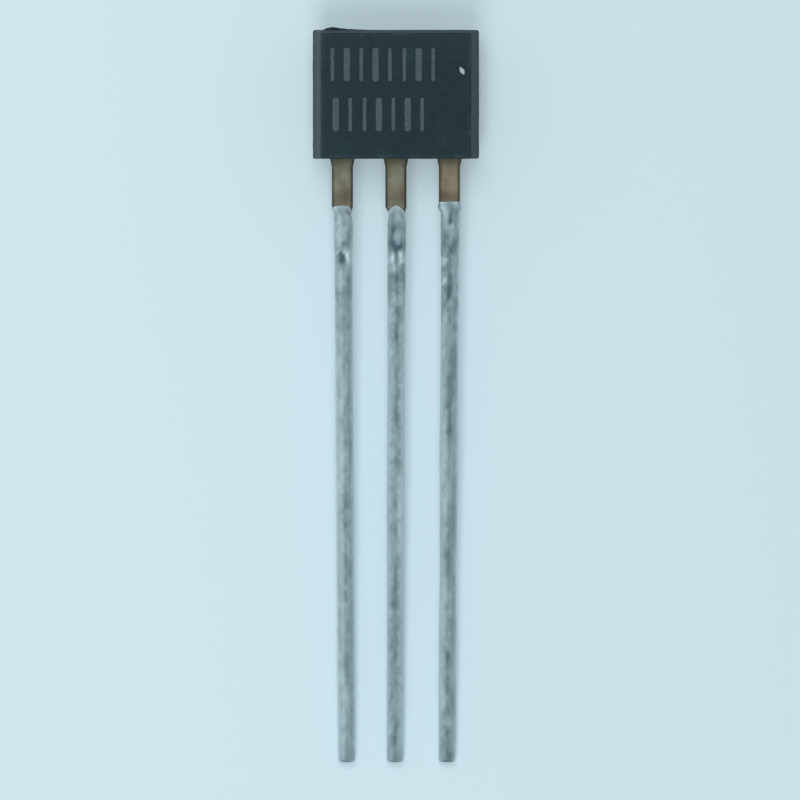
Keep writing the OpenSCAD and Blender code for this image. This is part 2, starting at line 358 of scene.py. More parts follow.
@dataclass(frozen=True)
class MouldedResin:
    """Epoxy moulding compound, black with carbon and full of ground silica.

    It is transfer-moulded in spark-eroded steel, so it has a fine matt grain with no
    direction, and its chipped edges and the broken gate show the paler silica. Its paler face
    rim, corners and parting line are a painted highlight, its paler side strips painted light,
    the left one more, and its left side is painted paler as light from the left.
    """

    deep: str = "#15292f"
    light: str = "#1e363d"
    scuffed_and_lit: str = "#4d5c60"
    grain_mm: float = 0.045
    grain_depth_mm: float = 0.0025
    mottle_mm: float = 0.22

    def build(self) -> bpy.types.Material:
        """Makes the material.

        Returns:
            The material.
        """
        material, add, where = start_material("moulded_resin")
        size = per_metre(self.mottle_mm)
        mottle = add("TexNoise", {"Vector": where, "Scale": size, "Detail": 4.0, "Roughness": 0.6})
        # pale stains and a paler top and bottom, with the left side painted paler as light from the
        # left
        haze_and_painted_light = add("Attribute", attribute_name="haze_and_painted_light").outputs["Fac"]
        amount = add("Math", {0: mottle.outputs["Fac"], 1: 1.5, 2: haze_and_painted_light}, operation="MULTIPLY_ADD")
        share = add("MapRange", {"Value": amount.outputs[0], "From Min": 0.45, "From Max": 1.7})
        tones = {0: share.outputs[0], 6: linear(self.deep), 7: linear(self.light)}
        resin = add("Mix", tones, data_type="RGBA").outputs[2]
        # pale tone: real wear on the chips and the torn gate, painted highlight on the face rim,
        # the corners and the parting line, and painted light on the side strips
        wear_and_painted_light = add("Attribute", attribute_name="wear_and_painted_light").outputs["Fac"]
        colour = add("Mix", {0: wear_and_painted_light, 6: resin, 7: linear(self.scuffed_and_lit)}, data_type="RGBA")
        size, depth = per_metre(self.grain_mm), self.grain_depth_mm * METRE
        grain = add("TexNoise", {"Vector": where, "Scale": size, "Detail": 3.0, "Roughness": 0.65})
        bump = add("Bump", {"Height": grain.outputs["Fac"], "Distance": depth, "Strength": 1.0})
        span = {"From Min": 0.3, "From Max": 0.7, "To Min": 0.52, "To Max": 0.66}
        rough = add("MapRange", {"Value": grain.outputs["Fac"], **span})
        look = {"Base Color": colour.outputs[2], "Roughness": rough.outputs[0], "IOR": 1.55}
        return shaded(material, {**look, "Specular IOR Level": 0.12, "Normal": bump.outputs[0]})


@dataclass(frozen=True)
class DippedSolder:
    """Tin-lead solder from a hot dip, gone dull.

    It froze as it ran off, so it has long runs, small lumps and patches of darker dross. Its
    oxide and the film of dried flux scatter light, so only half of it shines like metal. The
    darkness that each coat gives it also holds painted reflections: brighter sides, long
    bright and dark stripes and bright highlights on lumps.
    """

    bright: str = "#cde6ed"
    dark: str = "#425b66"
    run_width_mm: float = 0.1
    run_length_mm: float = 0.4
    pit_mm: float = 0.03
    pit_depth_mm: float = 0.0012

    def build(self) -> bpy.types.Material:
        """Makes the material.

        Returns:
            The material.
        """
        material, add, where = start_material("dipped_solder")
        wide, long = per_metre(self.run_width_mm), per_metre(self.run_length_mm)
        drawn = add("Mapping", {"Vector": where, "Scale": (wide, long, wide)}).outputs[0]
        runs = add("TexNoise", {"Vector": drawn, "Scale": 1.0, "Detail": 3.0, "Roughness": 0.6})
        # the coats' darkness: random tarnish and dross, with painted reflections: brighter sides,
        # long stripes and bright highlights on lumps
        tarnish_and_painted_reflection = add("Attribute", attribute_name="tarnish_and_painted_reflection").outputs["Fac"]
        mixed = add("Math", {0: runs.outputs["Fac"], 1: 0.4, 2: tarnish_and_painted_reflection}, operation="MULTIPLY_ADD")
        span = {"Value": mixed.outputs[0], "From Min": 0.05, "From Max": 1.5}
        share = add("MapRange", span).outputs[0]
        tones = {0: share, 6: linear(self.bright), 7: linear(self.dark)}
        colour = add("Mix", tones, data_type="RGBA").outputs[2]
        size, depth = per_metre(self.pit_mm), self.pit_depth_mm * METRE
        pits = add("TexNoise", {"Vector": where, "Scale": size, "Detail": 2.0}).outputs["Fac"]
        bump = add("Bump", {"Height": pits, "Distance": depth, "Strength": 1.0}).outputs[0]
        rough = add("MapRange", {"Value": share, "To Min": 0.45, "To Max": 0.62}).outputs[0]
        look = {"Base Color": colour, "Metallic": 0.5, "Roughness": rough, "Normal": bump}
        return shaded(material, look)


@dataclass(frozen=True)
class OxidisedCopper:
    """Rolled copper alloy strip, stamped, and browned by the heat of the moulding.

    Rolling left fine lines along the lead, the oxide is satin brown and uneven, and there is
    a darker band where flux dried above the solder. The root by the body is darkened as a
    painted shadow of the body, and the stamped edges as painted shade.

    Attributes:
        name: name of the material, since each lead has its own browning.
        middle_x: x of the neck's middle, in metres.
        band_y: y of the dark band, in metres.
        root_y: y of the body's face, in metres.
        stain: a burnt stain as its distance across and below band_y and its reach.
        dried_flux_and_shade: colour of the band, and of the painted shadow at the root by the body
            and the painted shade on the stamped edges.
        edge_shade_mm: distances from the middle where the painted shade of the edges starts and is
            full.
    """

    name: str
    middle_x: float
    band_y: float
    root_y: float
    stain: tuple[float, float, float]
    clean: str = "#6c6f5f"
    brown: str = "#5f5d4c"
    dried_flux_and_shade: str = "#434336"
    burnt: str = "#4c3e2c"
    line_width_mm: float = 0.022
    line_length_mm: float = 0.7
    line_depth_mm: float = 0.0015
    patch_mm: float = 0.25
    band_half_mm: float = 0.32
    root_shadow_mm: float = 0.3
    edge_shade_mm: tuple[float, float] = (0.12, 0.26)
    stain_cover: float = 0.8
    band_cover: float = 0.5
    root_shadow_cover: float = 0.6
    edge_shade_cover: float = 0.65

    def stained_and_shaded(self, add: AddNode, where: Socket, colour: Socket) -> Socket:
        """Lays the stain and the band over the oxide, with a painted shadow at the root by the body
        and painted shade on the edges.

        Args:
            add: what adds a node to the material.
            where: the place on the piece.
            colour: colour of the oxide.

        Returns:
            The colour with all of them.
        """
        split = add("SeparateXYZ", {0: where}).outputs
        across, below, reach = (size * METRE for size in self.stain)
        flat = add("CombineXYZ", {0: split["X"], 1: split["Y"]}).outputs[0]
        centre = (self.middle_x + across, self.band_y - below, 0.0)
        apart = add("VectorMath", {0: flat, 1: centre}, operation="DISTANCE").outputs["Value"]
        covers = [(apart, reach, 0.0, self.stain_cover, self.burnt)]
        # painted shadow of the body at the root, and painted shade on the stamped edges that face
        # sideways
        for axis, place, low, high, most in (
            ("Y", self.band_y, self.band_half_mm, 0.0, self.band_cover),
            ("Y", self.root_y, self.root_shadow_mm, 0.0, self.root_shadow_cover),
            ("X", self.middle_x, *self.edge_shade_mm, self.edge_shade_cover),
        ):
            away = add("Math", {0: split[axis], 1: place}, operation="SUBTRACT").outputs[0]
            distance = add("Math", {0: away}, operation="ABSOLUTE").outputs[0]
            covers.append((distance, low * METRE, high * METRE, most, self.dried_flux_and_shade))
        for distance, low, high, most, tone in covers:
            span = {"Value": distance, "From Min": low, "From Max": high, "To Max": most}
            cover = add("MapRange", span, interpolation_type="SMOOTHSTEP").outputs[0]
            colour = add("Mix", {0: cover, 6: colour, 7: linear(tone)}, data_type="RGBA").outputs[2]
        return colour

    def build(self) -> bpy.types.Material:
        """Makes the material.

        Returns:
            The material.
        """
        material, add, where = start_material(self.name)
        size = per_metre(self.patch_mm)
        patches = add("TexNoise", {"Vector": where, "Scale": size, "Detail": 3.0, "Roughness": 0.6})
        span = {"Value": patches.outputs["Fac"], "From Min": 0.35, "From Max": 0.65}
        tones = {0: add("MapRange", span).outputs[0], 6: linear(self.clean), 7: linear(self.brown)}
        oxide = add("Mix", tones, data_type="RGBA").outputs[2]
        wide, long = per_metre(self.line_width_mm), per_metre(self.line_length_mm)
        drawn = add("Mapping", {"Vector": where, "Scale": (wide, long, wide)}).outputs[0]
        lines = add("TexNoise", {"Vector": drawn, "Scale": 1.0, "Detail": 2.0}).outputs["Fac"]
        span = {"Value": lines, "From Min": 0.3, "From Max": 0.7, "To Min": 0.88, "To Max": 1.1}
        tones = {0: 1.0, 6: self.stained_and_shaded(add, where, oxide), 7: add("MapRange", span).outputs[0]}
        colour = add("Mix", tones, data_type="RGBA", blend_type="MULTIPLY").outputs[2]
        depth = self.line_depth_mm * METRE
        bump = add("Bump", {"Height": lines, "Distance": depth, "Strength": 1.0}).outputs[0]
        look = {"Base Color": colour, "Metallic": 0.5, "Roughness": 0.5, "Normal": bump}
        return shaded(material, look)


@dataclass(frozen=True)
class TwoTone:
    """A plain finish of a small piece: two tones mixed by a fine pattern."""

    name: str
    tones: tuple[str, str]
    grain_mm: float
    metallic: float
    roughness: float

    def build(self) -> bpy.types.Material:
        """Makes the material.

        Returns:
            The material.
        """
        material, add, where = start_material(self.name)
        size = per_metre(self.grain_mm)
        grain = add("TexNoise", {"Vector": where, "Scale": size, "Detail": 2.0}).outputs["Fac"]
        tones = {0: grain, 6: linear(self.tones[0]), 7: linear(self.tones[1])}
        colour = add("Mix", tones, data_type="RGBA").outputs[2]
        look = {"Base Color": colour, "Metallic": self.metallic, "Roughness": self.roughness}
        return shaded(material, look)


@dataclass(frozen=True)
class FadedInk:
    """Pale ink printed by a pad on the matt resin.

    It is a few micrometres thick and rubbed off the grain's peaks, so the resin shows
    through it in specks.
    """

    ink: str = "#45575e"
    resin: str = "#384a51"
    speck_mm: float = 0.05

    def build(self) -> bpy.types.Material:
        """Makes the material.

        Returns:
            The material.
        """
        material, add, where = start_material("faded_ink")
        size = per_metre(self.speck_mm)
        specks = add("TexNoise", {"Vector": where, "Scale": size, "Detail": 3.0, "Roughness": 0.6})
        kept = add("MapRange", {"Value": specks.outputs["Fac"], "From Min": 0.36, "From Max": 0.56})
        tones = {0: kept.outputs[0], 6: linear(self.resin), 7: linear(self.ink)}
        colour = add("Mix", tones, data_type="RGBA").outputs[2]
        look = {"Base Color": colour, "Roughness": 0.6, "IOR": 1.5, "Specular IOR Level": 0.2}
        return shaded(material, look)


@dataclass(frozen=True)
class PaintedBoard:
    """The pale board under the part: smooth matt paint, a little paler on the left as painted
    light from that side.

    Attributes:
        half_mm: half the width over which it changes from left to right.
        even_share: share of its colour that it shows whatever falls on it, so that the
            part's shadow stays faint.
        even_light: the light that this share shows.
    """

    # painted light: the left is paler, as light from the left
    left: str = "#d3eaf3"
    right: str = "#cde4ed"
    half_mm: float = 9.5
    even_share: float = 0.27
    even_light: float = 0.96

    def build(self) -> bpy.types.Material:
        """Makes the material.

        Returns:
            The material.
        """
        material, add, where = start_material("painted_board")
        reach = self.half_mm * METRE
        across = add("SeparateXYZ", {0: where}).outputs["X"]
        share = add("MapRange", {"Value": across, "From Min": -reach, "From Max": reach})
        tones = {0: share.outputs[0], 6: linear(self.left), 7: linear(self.right)}
        colour = add("Mix", tones, data_type="RGBA").outputs[2]
        glow = add("Emission", {"Color": colour, "Strength": self.even_light}).outputs[0]
        rays = add("LightPath").outputs
        seen = rays["Is Camera Ray"]
        for ray in ("Is Glossy Ray", "Is Transmission Ray"):
            seen = add("Math", {0: seen, 1: rays[ray]}, operation="MAXIMUM").outputs[0]
        even = add("Math", {0: seen, 1: self.even_share}, operation="MULTIPLY").outputs[0]
        nodes = material.node_tree.nodes
        both = add("MixShader", {0: even, 1: nodes["Principled BSDF"].outputs[0], 2: glow})
        feed(nodes["Material Output"], {"Surface": both.outputs[0]})
        return shaded(material, {"Base Color": colour, "Roughness": 0.9})


# ---- moulded body


@dataclass(frozen=True)
class MouldedBody:
    """The resin block, moulded in two halves that meet at the front of the leads.

    Attributes:
        face_setback: how far each side closes in from the parting line to the face.
        end_draft: draft of the top and bottom sides, in degrees.
        side_draft: draft of the left and right sides behind the parting line.
        outline: points of a ring along the top, along a side and round a corner.
        flash: how far the resin stands out along the parting line.
        sink: how far the middle of the face shrank in.
        gate_top: x of the broken gate's highest point, and its height over the top side.
        gate_reach: how far the stub runs to the left and to the right of that point.
        gate_depth: how far behind the parting line it starts.
        strip: the strip along each side of the front half that is painted paler, as light catches
            it: its distances from the middle where it starts, is full, starts to fade and has
            faded to half.
        side_light_gains: how much painted light the left and the right strip get.
        stains: pale stains on the face, each as x, y and size.
        uneven: random unevenness, each as height, size and seed.
        wear_and_highlight_gains: how pale the edges, the flash, the chips and the torn gate are;
        on the edges and the flash the paleness is a painted highlight.
    """

    lay: Lay
    width: float = 3.93
    height: float = 3.05
    thickness: float = 2.1
    part_line: float = 1.24
    face_setback: float = 0.19
    end_draft: float = 3.0
    side_draft: float = 5.0
    back_bevel: float = 0.5
    edge_radius: float = 0.05
    corner_radius: float = 0.05
    outline: tuple[int, int, int] = (108, 84, 7)
    flash: float = 0.007
    flash_width: float = 0.014
    sink: float = 0.006
    ejector_radius: float = 0.45
    ejector_depth: float = 0.04
    gate_top: tuple[float, float] = (-1.51, 0.07)
    gate_reach: tuple[float, float] = (0.23, 0.95)
    gate_depth: float = 0.35
    strip: tuple[float, float, float, float] = (1.73, 1.83, 1.87, 1.95)
    side_light_gains: tuple[float, float] = (0.74, 0.25)
    uneven: tuple[tuple[float, float, int], ...] = ((0.0012, 0.07, 1), (0.0025, 0.35, 2))
    chip_depth: float = 0.03
    wear_and_highlight_gains: tuple[float, float, float, float] = (0.13, 0.2, 0.6, 6.0)
    stains: tuple[Triple, ...] = (
        (1.54, 1.66, 0.09),
        (1.14, 0.47, 0.1),
        (0.35, 2.5, 0.16),
        (-1.2, 0.3, 0.22),
        (-0.4, 0.22, 0.18),
    )

    def sections(self) -> tuple[np.ndarray, np.ndarray]:
        """Gives the half width and the half height against z.

        Both are the CAD outline's corners, with the drafts of the mould, rounded.

        Returns:
            Two arrays of points, each a half size and its z.
        """
        line, face = self.part_line, self.thickness
        half, tall = self.width / 2, self.height / 2
        bevel = half - (line - self.back_bevel) * math.tan(math.radians(self.side_draft))
        slope = math.tan(math.radians(self.end_draft))
        across = [(0, 0), (bevel - self.back_bevel, 0), (bevel, self.back_bevel), (half, line)]
        across += [(half - self.face_setback, face), (0, face)]
        up = [(0, 0), (tall - line * slope, 0), (tall, line)]
        up += [(tall - (face - line) * slope, face), (0, face)]
        return (
            rounded_section(np.array(across), self.edge_radius),
            rounded_section(np.array(up), self.edge_radius),
        )

    def levels(self) -> np.ndarray:
        """Spaces the rings, close together at the edges and the parting line.

        Returns:
            Their heights.
        """
        edge = self.edge_radius * (1 - np.cos(np.linspace(0, math.pi / 2, 8)))
        near, high = 0.03, self.thickness - self.edge_radius
        stops = [self.edge_radius, self.back_bevel - near, self.back_bevel + near]
        stops += [self.part_line - near, self.part_line + near, high]
        counts = (14, 6, 28, 13, 26)
        between = [np.linspace(a, b, n)[1:] for a, b, n in zip(stops, stops[1:], counts)]
        return np.concatenate([edge, *between, (self.thickness - edge[::-1])[1:]])

    def face_height(self, x: np.ndarray, y: np.ndarray) -> np.ndarray:
        """Gives the marked face's height: thickness - sink (1 - x^2)(1 - y^2) of its size.

        Args:
            x: places across the body.
            y: places up the body.

        Returns:
            The height at each of them.
        """
        across = np.clip(2 * x / (self.width - 2 * self.face_setback), -1, 1)
        up = np.clip(2 * y / self.height - 1, -1, 1)
        return self.thickness - self.sink * (1 - across**2) * (1 - up**2)

    def gate(self, points: np.ndarray) -> np.ndarray:
        """Gives the height of the broken stub over the top side.

        It rises to its highest point from the corner and falls away towards the middle, and
        stands only between the parting line and gate_depth behind it.

        Args:
            points: places on the body.

        Returns:
            The height at each of them.
        """
        middle, high = self.gate_top
        rise, run = self.gate_reach
        x, z = points[..., 0] - middle, points[..., 2]
        places = [-rise, -rise / 2, 0, run * 0.15, run * 0.35, run]
        shape = np.interp(x, places, [0, 0.7, 1, 0.75, 0.4, 0])
        line, back = self.part_line, self.part_line - self.gate_depth
        window = smooth_step(z, back, back + 0.04)
        window = window * (1 - smooth_step(z, line - 0.02, line + 0.01))
        torn = 1 + 0.35 * random_field(points, 0.06, 5) + 0.2 * random_field(points, 0.025, 6)
        return high * shape * window * np.clip(torn, 0, 1.08)

    def painted_side_light(self, points: np.ndarray) -> np.ndarray:
        """Gives the painted light on the strips along the front half's sides, the left one more.

        Args:
            points: places on the body.

        Returns:
            The paleness at each of them.
        """
        # painted light: both strips are painted paler, the left one more, as light from the left
        # catches them
        start, full, fade, end = self.strip
        left, right = self.side_light_gains
        aside = np.abs(points[..., 0])
        strip = smooth_step(aside, start, full) * (1 - 0.5 * smooth_step(aside, fade, end))
        side_light_gains = np.where(points[..., 0] < 0, left, right) * (points[..., 2] > self.part_line)
        return side_light_gains * strip

    def haze_and_painted_light(self, x: np.ndarray, y: np.ndarray) -> np.ndarray:
        """Gives how pale the resin is: more at its top and bottom and in its stains, and more on
        its left as painted light from that side.

        Args:
            x: places across the body.
            y: places up the body.

        Returns:
            The haze at each of them.
        """
        # painted light: the left side is made paler as if lit from the left
        haze_and_painted_light = 0.25 * smooth_step(y, 1.9, 3.0) + 0.22 * smooth_step(-x, 0.9, 1.9)
        haze_and_painted_light += 0.3 * (1 - smooth_step(y, 0.05, 0.3))
        for stain_x, stain_y, size in self.stains:
            haze_and_painted_light += 0.5 * bell(np.hypot(x - stain_x, y - stain_y), 0, size)
        return haze_and_painted_light

    def skin(self, reach: np.ndarray, bend: np.ndarray) -> tuple[np.ndarray, ...]:
        """Lays out the rings: the ejector pin's mark, the back, the sides and the face.

        Args:
            reach: the outline's share of the half size less the radius.
            bend: the outline's share of the radius.

        Returns:
            The points, 1 for those on the sides, and 1 for those on the rim of the face.
        """
        across, up = self.sections()
        z = self.levels()
        half = np.stack([np.interp(z, part[:, 1], part[:, 0]) for part in (across, up)], axis=1)
        radius = self.corner_radius
        middle = np.array([0, self.height / 2])
        sides = middle + reach * (half[:, None] - radius) + bend * radius
        first, last = sides[0], sides[-1]
        away = (first - middle) / np.linalg.norm(first - middle, axis=1, keepdims=True)
        pin = np.concatenate([np.linspace(0.04, 0.96, 10), [0.985, 0.995, 1.005, 1.02]])
        pin_z = self.ejector_depth * (1 - smooth_step(pin, 0.975, 1.01))
        hole = middle + away * (pin * self.ejector_radius)[:, None, None]
        spread = np.linspace(0, 1, 20)[1:-1, None, None]
        apron = hole[-1] * (1 - spread) + first * spread
        shrink = np.concatenate([1 - np.linspace(0, 0.05, 6)[1:], np.linspace(0.95, 0.01, 56)[1:]])
        face = middle + (last - middle) * shrink[:, None, None]
        face_z = self.face_height(face[..., 0], face[..., 1])
        parts = ((hole, pin_z[:, None]), (apron, 0.0), (sides, z[:, None]), (face, face_z))
        grid = np.concatenate([at_height(flat, height) for flat, height in parts])
        on_side = np.zeros(grid.shape[:2])
        start, end = len(hole) + len(apron), -len(face)
        on_side[start:end] = 1
        rim = bell(grid[..., 2], self.thickness, 0.05) * on_side
        rim[end:] = bell(1 - shrink, 0, 0.02)[:, None]
        return grid, on_side, rim

    def build(self) -> bpy.types.Object:
        """Makes the body's skin and stands it for the CAD body.

        Every point is moved along its normal by the grain of the mould and the flash at the
        parting line, and inward where a corner or the rim is chipped.

        Returns:
            The piece.
        """
        reach, bend = outline_weights(*self.outline)
        grid, on_side, rim = self.skin(reach, bend)
        along = np.roll(grid, -1, axis=1) - np.roll(grid, 1, axis=1)
        normal = np.cross(along, np.gradient(grid, axis=0))
        normal /= np.maximum(np.linalg.norm(normal, axis=2, keepdims=True), 1e-9)

        corner = 4 * np.abs(bend[:, 0] * bend[:, 1])[None, :] ** 2 * on_side
        edge = np.clip(corner + rim, 0, 1)
        line = bell(grid[..., 2], self.part_line, self.flash_width) * on_side
        rough = sum(high * random_field(grid, size, seed) for high, size, seed in self.uneven)
        ragged = 0.55 + 0.45 * random_field(grid, 0.11, 3)
        chips = np.clip(random_field(grid, 0.13, 4) - 0.35, 0, 1)
        lift = rough + self.flash * line * ragged - self.chip_depth * chips * edge
        grid = grid + normal * lift[..., None]
        stub = self.gate(grid) * on_side * (bend[:, 1] > 0.999)[None, :]
        grid[..., 1] += stub

        # the pale tone: painted highlight on the face rim, the corners and the parting line, real
        # wear on the chips and the torn gate, and painted light on the side strips
        patchiness = np.clip(0.5 + 0.9 * random_field(grid, 0.16, 7), 0, 1)
        places = (edge * patchiness, line * ragged, chips * edge, stub * patchiness)
        wear_and_painted_light = sum(gain * place for gain, place in zip(self.wear_and_highlight_gains, places))
        wear_and_painted_light = np.clip(np.clip(wear_and_painted_light, 0, 1) + self.painted_side_light(grid) * on_side, 0, 1)
        haze_and_painted_light = self.haze_and_painted_light(grid[..., 0], grid[..., 1])
        piece = closed_object(
            "moulded_resin_block", [self.lay.place(grid)], {"wear_and_painted_light": [wear_and_painted_light], "haze_and_painted_light": [haze_and_painted_light]}
        )
        piece.data.materials.append(MouldedResin().build())
        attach(piece, BODY)
        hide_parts("molded_body")
        return piece


# ---- printed marks


@dataclass(frozen=True)
class PlainMark:
    """Two rows of plain upright bars on the face, printed in pale ink.

    They are a general pattern and stand for no letters or numbers.

    Attributes:
        rows: for each row its lower end, its height and its first bar's x.
        orders: for each row its bars in order, n for narrow and w for wide.
        ink: how far the ink stands above the face.
    """

    body: MouldedBody
    rows: tuple[Triple, ...] = ((1.86, 0.8, -1.5), (0.68, 0.8, -1.42))
    orders: tuple[str, ...] = ("nwnwnnwn", "wnnwnwn")
    widths: tuple[tuple[str, float], ...] = (("n", 0.085), ("w", 0.15))
    pitch: float = 0.34
    ink: float = 0.003

    def bar(self, x: float, y: float, width: float, height: float) -> np.ndarray:
        """Makes one bar: a rounded rectangle that grows from a point and shrinks to one.

        Its upper side stands ink above the face and falls off along the last tenth of its
        half width, and its lower side is just under the face.

        Args:
            x: middle of the bar.
            y: lower end of the bar.
            width: its width.
            height: its height.

        Returns:
            Rings of points.
        """
        reach, bend = outline_weights(8, 60, 5)
        half = np.array([width, height]) / 2
        radius = 0.4 * width
        outline = reach * (half - radius) + bend * radius
        size = np.concatenate([np.linspace(0.05, 0.9, 6), [0.96, 1, 1], np.linspace(0.9, 0.05, 3)])
        z = self.ink * np.concatenate([np.ones(6), [0.8, 0.3], -np.ones(4)])
        points = at_height(np.array([x, y + height / 2]) + outline * size[:, None, None], 0.0)
        points[..., 0] += 0.006 * random_field(points, 0.05, 31) * (size[:, None] > 0.85)
        points[..., 2] = self.body.face_height(points[..., 0], points[..., 1]) + z[:, None] + 0.001
        return points

    def build(self) -> bpy.types.Object:
        """Makes all the bars as one piece.

        Returns:
            The piece.
        """
        width_of = dict(self.widths)
        grids = [
            self.body.lay.place(self.bar(start + k * self.pitch, low, width_of[kind], tall))
            for (low, tall, start), order in zip(self.rows, self.orders)
            for k, kind in enumerate(order)
        ]
        piece = closed_object("printed_bars", grids)
        piece.data.materials.append(FadedInk().build())
        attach(piece, BODY)
        return piece


@dataclass(frozen=True)
class DustCrumb:
    """The small pale crumb of dust that sticks to the face near its right edge."""

    body: MouldedBody
    x: float = 1.565
    y: float = 2.11
    half_width: float = 0.055
    half_length: float = 0.095
    height: float = 0.025
    lean: float = -0.5

    def build(self) -> bpy.types.Object:
        """Makes the crumb: an ellipsoid with a random surface, half sunk in the face.

        Returns:
            The piece.
        """
        polar, turn = np.meshgrid(
            np.linspace(0.08, math.pi - 0.08, 24),
            np.linspace(0, 2 * math.pi, 40, endpoint=False),
            indexing="ij",
        )
        ring = np.sin(polar)
        unit = np.stack([ring * np.cos(turn), ring * np.sin(turn), np.cos(polar)], axis=2)
        unit *= 1 + 0.22 * random_field(unit, 0.7, 41)[..., None]
        x, y = unit[..., 0] * self.half_width, unit[..., 1] * self.half_length
        sin, cos = math.sin(self.lean), math.cos(self.lean)
        x, y = x * cos + y * sin + self.x, y * cos - x * sin + self.y
        grid = np.stack([x, y, self.body.face_height(x, y) + unit[..., 2] * self.height], axis=2)
        piece = closed_object("dust_crumb", [self.body.lay.place(grid)])
        chalk = TwoTone("pale_flake", ("#8a9ca2", "#b4c5ca"), 0.05, 0.0, 0.6)
        piece.data.materials.append(chalk.build())
        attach(piece, BODY)
        return piece


# ---- solder coats


@dataclass(frozen=True)
class Spot:
    """A place where the coat is thicker or thinner, darker or brighter; the brightest are
    painted highlights on the flanks of lumps.

    Attributes:
        down: distance below the body.
        across: distance from the middle of the lead.
        length: reach along the lead.
        width: reach across it.
        shade: how much darker it is, or brighter where negative.
        height: how much thicker the coat is.
    """

    down: float
    across: float
    length: float
    width: float
    shade: float
    height: float = 0.0


@dataclass(frozen=True)
class PaintedStripe:
    """A long painted stripe along the lead: a painted reflection, darker where it stands for the
    dark overhead and brighter where it stands for the bright surroundings.

    Attributes:
        downs: distances below the body of its bends.
        acrosses: distance from the middle of the lead at each of them.
        width: its half width.
        shade: how much darker it is, or brighter where negative.
    """

    downs: tuple[float, ...]
    acrosses: tuple[float, ...]
    width: float
    shade: float


